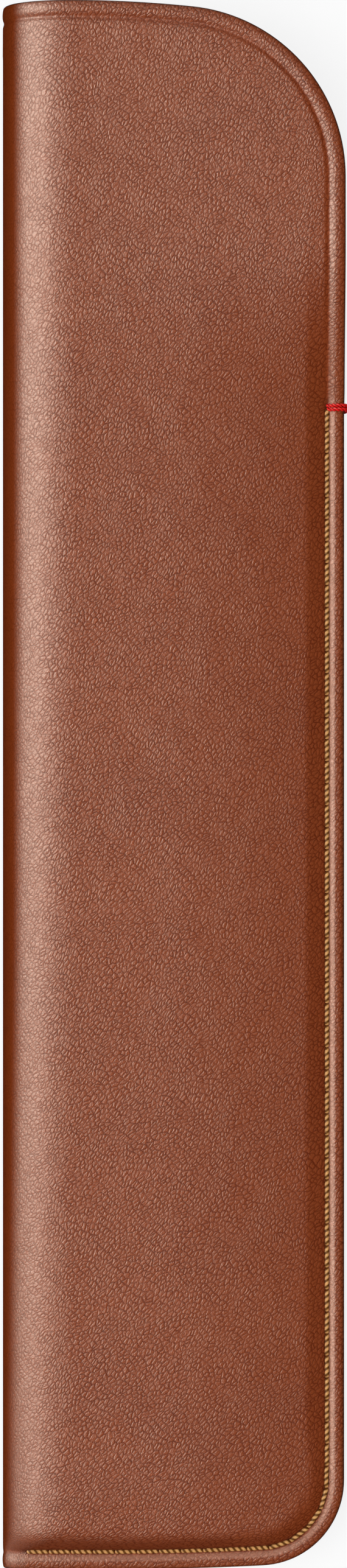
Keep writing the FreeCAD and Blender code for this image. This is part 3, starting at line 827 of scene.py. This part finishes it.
tanThread = threadMaterial("tanThread", seamStitches)
stitchNodes = stitchTree()
needleRow = stitchRow("needle_stitches", 1.0, stitchNodes, tanThread)
bobbinRow = stitchRow("bobbin_stitches", -1.0, stitchNodes, tanThread)
print("stitches:", len(needleRow.data.polygons), "faces a side")


# bar tack: turns of red thread round the edge where the seam ends
tackLook = {
    "turns": 2, "height": 126.3, "spacing": 0.43, "reach": 1.8, "radius": 0.22, "clearance": 0.02,
    "holes": ((0.12, 1.1), (0.1, 1.6)),       # start of a turn in its hole: mm beyond reach, height
    "pathSteps": 26, "phaseStep": 1.1,
    "plyRadius": 0.13, "plyOffset": 0.09, "plies": 2, "lay": 0.9, "sides": 10, "step": 0.06,
    # the tack's colour, and painted shade in the grooves between its plies
    "colour": (0.86, 0.012, 0.012), "dark": (0.42, 0.003, 0.003), "groove": (0.2, 0.8),
}


def twistedStrand(path, look, phase):
    # plies wound round a path, as tubes with closed ends
    runs = np.concatenate([[0.0], np.cumsum(np.linalg.norm(np.diff(path, axis=0), axis=1))])
    places = np.linspace(0.0, runs[-1], int(runs[-1] / look["step"]) + 1)
    path = np.stack([np.interp(places, runs, path[:, k]) for k in range(3)], axis=1)
    tangent = np.gradient(path, axis=0)
    tangent /= np.linalg.norm(tangent, axis=1)[:, None]
    sideways = np.array([0.0, 1.0, 0.0])
    points, faces, reaches = [], [], []
    for ply in range(look["plies"]):
        start = len(points)
        angle = phase + 2 * math.pi * (ply / look["plies"] + places / look["lay"])
        up = np.cross(tangent, sideways)
        up /= np.linalg.norm(up, axis=1)[:, None]
        across = np.cross(up, tangent)
        centre = path + look["plyOffset"] * (np.cos(angle)[:, None] * across + np.sin(angle)[:, None] * up)
        for k in range(len(centre)):
            for s in range(look["sides"]):
                turn = 2 * math.pi * s / look["sides"]
                outwards = math.cos(turn) * across[k] + math.sin(turn) * up[k]
                points.append(centre[k] + look["plyRadius"] * outwards)
                reach = float(np.linalg.norm(points[-1] - path[k]))
                # 0 in the grooves between the plies, where the thread's material paints shade
                reaches.append((reach - look["plyRadius"] / 2) / (look["plyOffset"] + look["plyRadius"] / 2))
        n = look["sides"]
        for k in range(len(centre) - 1):
            for s in range(n):
                a, b = start + k * n + s, start + k * n + (s + 1) % n
                faces.append((a, b, b + n, a + n))
        faces.append(tuple(start + s for s in reversed(range(n))))
        faces.append(tuple(start + (len(centre) - 1) * n + s for s in range(n)))
    return points, faces, reaches


def barTack(material):
    look = tackLook
    points, faces, reaches = [], [], []
    reach = np.linspace(look["reach"], 0.0, look["pathSteps"])
    for turn in range(look["turns"]):
        y = look["height"] + (turn - (look["turns"] - 1) / 2) * look["spacing"]
        x = width - reach
        z = leatherOuter(x, np.full_like(x, y), reach)[0]
        slope = np.gradient(np.stack([x, z], axis=1), axis=0)
        slope /= np.linalg.norm(slope, axis=1)[:, None]
        lift = look["radius"] + look["clearance"]
        x, z = x - slope[:, 1] * lift, z + slope[:, 0] * lift
        upper = np.stack([x, np.full_like(x, y), z], axis=1)
        hole = np.array([[width - look["reach"] - beyond, y, level] for beyond, level in look["holes"]])
        upper = np.concatenate([hole, upper[z > look["clearance"]]])
        lower = upper[::-1] * np.array([1.0, 1.0, -1.0])
        path = np.concatenate([upper, [[width + lift, y, 0.0]], lower])
        madePoints, madeFaces, madeReaches = twistedStrand(path, look, look["phaseStep"] * turn)
        faces += [tuple(i + len(points) for i in f) for f in madeFaces]
        points += madePoints
        reaches += madeReaches
    return meshObject("bar_tack_thread", toFrame(points), faces, material, None, {"plyReach": reaches})


redThread = threadMaterial("redThread", tackLook)
tackThread = barTack(redThread)
print("bar tack:", len(tackThread.data.polygons), "faces")


# stiffener boards between leather and lining, bent to the walls
boardLook = {
    "topDepth": 1.24, "thickness": 0.48, "corner": 3.0, "across": 18, "along": 90,
    "colour": (0.36, 0.29, 0.21), "dark": (0.20, 0.15, 0.10), "tone": (0.35, 0.65),
    "fibreScale": 1200.0, "bump": (0.5, 0.0001), "roughness": (0.8, 0.9),
}


def boardMaterial():
    look = boardLook
    material, tree = newMaterial("fibreBoard")
    place = addNode(tree, "ShaderNodeTexCoord", {}, {}, "Object")
    fibre = addNode(tree, "ShaderNodeTexNoise", {},
                    {"Vector": place, "Scale": look["fibreScale"], "Detail": 5.0}, "Fac")
    tone = smoothRange(tree, fibre, *look["tone"])
    colour = mixColour(tree, tone, opaque(look["dark"]), opaque(look["colour"]))
    closeMaterial(tree, {"Base Color": colour, "Roughness": between(look["roughness"], fibre),
                         "Normal": bumpFrom(tree, fibre, *look["bump"])})
    return material


def boardPiece(name, node, front, material):
    look = boardLook
    low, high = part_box(node)
    low, high = np.array(low) / mm - shift, np.array(high) / mm - shift
    across, along = np.meshgrid(np.linspace(0, 1, look["across"] + 1), np.linspace(0, 1, look["along"] + 1),
                                indexing="ij")
    y = low[1] + (high[1] - low[1]) * along
    near = np.minimum(y - low[1], high[1] - y)
    cut = look["corner"] * roundOver(near, look["corner"])                 # rounded corners
    x = low[0] + cut + (high[0] - low[0] - 2 * cut) * across
    side = 1.0 if front else -1.0
    layers = []
    for depth in (look["topDepth"], look["topDepth"] + look["thickness"]):
        z = wallHeight(x.ravel(), y.ravel(), depth, None, front)
        layers.append(np.stack([x.ravel(), y.ravel(), side * z], axis=1))
    n, m = x.shape
    ids = np.arange(n * m).reshape(n, m)
    faces = []
    for i in range(n - 1):
        for j in range(m - 1):
            ring = [ids[i, j], ids[i + 1, j], ids[i + 1, j + 1], ids[i, j + 1]]
            faces += [ring, [k + n * m for k in ring[::-1]]]
    rim = list(ids[:, 0]) + list(ids[-1, 1:]) + list(ids[-2::-1, -1]) + list(ids[0, -2:0:-1])
    for k, first in enumerate(rim):
        second = rim[(k + 1) % len(rim)]
        faces.append([second, first, first + n * m, second + n * m])
    faces = [[int(i) for i in (f if front else f[::-1])] for f in faces]
    return meshObject(name, toFrame(np.concatenate(layers)), faces, material)


fibreBoard = boardMaterial()
frontBoard = boardPiece("front_board", "front_stiffener", True, fibreBoard)
backBoard = boardPiece("back_board", "back_stiffener", False, fibreBoard)
print("boards:", len(frontBoard.data.polygons), "faces each")


# what moves with what
for piece in (frontLeather, frontLining):
    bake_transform(piece)
for piece in (backLeather, backLining, frontBoard, backBoard, needleRow, bobbinRow, tackThread):
    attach(piece, "sleeve")
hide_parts("outer_leather", "front_lip_leather")
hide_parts("lining", "front_lip_lining")
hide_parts("needle_thread")
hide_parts("bobbin_thread")
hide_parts("bar_tack")
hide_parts("front_stiffener")
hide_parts("back_stiffener")


# studio: floor, light and camera
studio = {
    "floorHalf": 1.5, "floorBounce": 0.22, "shadowShare": 0.15,
    "worldDiffuse": 0.3,
    "white": (1.0, 1.0, 1.0, 1.0),
    "overhead": {"place": (-0.28, -0.08, 1.05), "size": (0.5, 0.5), "power": 7.05},
    "sideGloss": {"place": (-1.0, 0.3, 0.55), "size": (0.65, 0.65), "power": 470.0,
                  "colour": (1.0, 0.82, 0.68)},
    "aim": (0.0, 0.0, 0.01),
    "cameraRise": 0.68, "cameraPlace": (-0.000215, 0.00043), "viewHeight": 0.17083,
    "sensor": 24.0, "clipStart": 0.01,
}


def pickRay(tree):
    # 1 where the pale ground is seen straight, mirrored or through something
    seen, mirrored, through = (addNode(tree, "ShaderNodeLightPath", {}, {}, "Is %s Ray" % kind)
                               for kind in ("Camera", "Glossy", "Transmission"))
    return seen.math("MAXIMUM", seen, mirrored.math("MAXIMUM", mirrored, through))


def floorPlane():
    half = studio["floorHalf"]
    points = [(-half, -half, 0.0), (half, -half, 0.0), (half, half, 0.0), (-half, half, 0.0)]
    material, tree = newMaterial("paleFloor")
    bounce, shown = (addNode(tree, "ShaderNodeBsdfDiffuse", {}, {"Color": opaque((studio[k],) * 3)})
                     for k in ("floorBounce", "shadowShare"))
    glow = addNode(tree, "ShaderNodeEmission", {},
                   {"Color": studio["white"], "Strength": 1.0 - studio["shadowShare"]})
    pale = addNode(tree, "ShaderNodeAddShader", {}, {0: shown, 1: glow})
    floorShade = addNode(tree, "ShaderNodeMixShader", {}, {0: pickRay(tree), 1: bounce, 2: pale})
    addNode(tree, "ShaderNodeOutputMaterial", {}, {"Surface": floorShade})
    return meshObject("floor", points, [(0, 1, 2, 3)], material)


floorPlane()

world = bpy.data.worlds.new("studio")
bpy.context.scene.world = world
world.use_nodes = True
worldTree = world.node_tree
worldTree.nodes.clear()
dim, white = (addNode(worldTree, "ShaderNodeBackground", {}, {"Color": studio["white"], "Strength": strength})
              for strength in (studio["worldDiffuse"], 1.0))
skyShade = addNode(worldTree, "ShaderNodeMixShader", {}, {0: pickRay(worldTree), 1: dim, 2: white})
addNode(worldTree, "ShaderNodeOutputWorld", {}, {"Surface": skyShade})


def softbox(name, settings, glossOnly):
    light = bpy.data.lights.new(name, "AREA")
    light.shape = "RECTANGLE"
    light.size, light.size_y = settings["size"]
    light.energy = settings["power"]
    light.color = settings.get("colour", (1.0, 1.0, 1.0))
    lamp = bpy.data.objects.new(name, light)
    place = np.array(settings["place"])
    lamp.location = place
    away = Vector(place - np.array(studio["aim"]))
    lamp.rotation_euler = away.to_track_quat("Z", "Y").to_euler()
    lamp.visible_diffuse = not glossOnly
    lamp.visible_camera = False
    bpy.context.scene.collection.objects.link(lamp)


softbox("overhead", studio["overhead"], False)
softbox("side_gloss", studio["sideGloss"], True)

camera = bpy.data.cameras.new("camera")
camera.sensor_fit = "VERTICAL"
camera.sensor_height = studio["sensor"]
camera.lens = camera.sensor_height * studio["cameraRise"] / studio["viewHeight"]
camera.clip_start = studio["clipStart"]
cameraObject = bpy.data.objects.new("camera", camera)
cameraObject.location = (*studio["cameraPlace"], halfDepth * mm + studio["cameraRise"])
bpy.context.scene.collection.objects.link(cameraObject)
bpy.context.scene.camera = cameraObject
bpy.context.scene.view_settings.view_transform = "Standard"
print("studio: floor, two softboxes and the camera")
